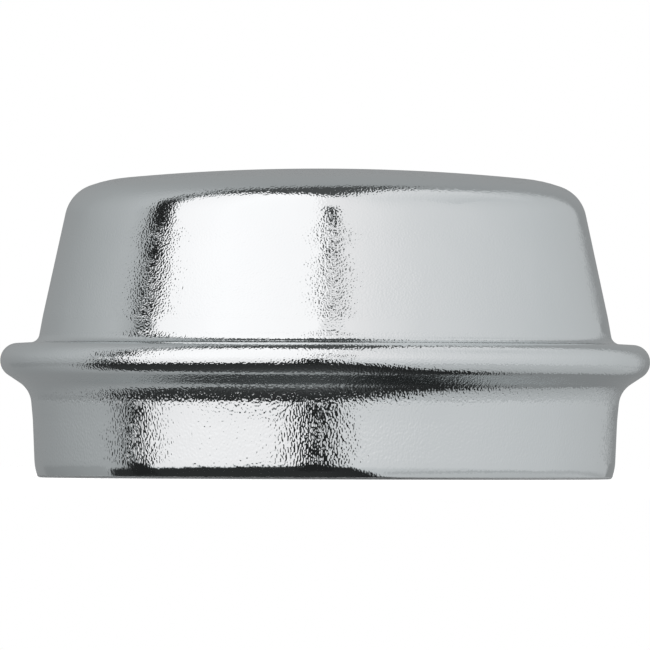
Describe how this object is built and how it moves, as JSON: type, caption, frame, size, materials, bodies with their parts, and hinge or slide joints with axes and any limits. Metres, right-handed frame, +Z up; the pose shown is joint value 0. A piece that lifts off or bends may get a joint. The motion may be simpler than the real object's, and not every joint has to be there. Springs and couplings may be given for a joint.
{
  "type": "hub grease cap",
  "caption": "Bright plated pressed-steel cap that is driven into a wheel hub's bore over the bearing nut, with a shallow domed crown, tapered wall and folded stop bead.",
  "frame": {"origin": "centre of the open rim, in the plane of the rim's trimmed face", "axes": "+Z up the cap's axis from the open rim to the crown; X and Y are alike, because the cap is round"},
  "size_m": [0.056, 0.056, 0.0267],
  "materials": {
    "plated_steel": "polished"
  },
  "bodies": {
    "root": {"grease_cap": "plated_steel"}
  },
  "joints": []
}
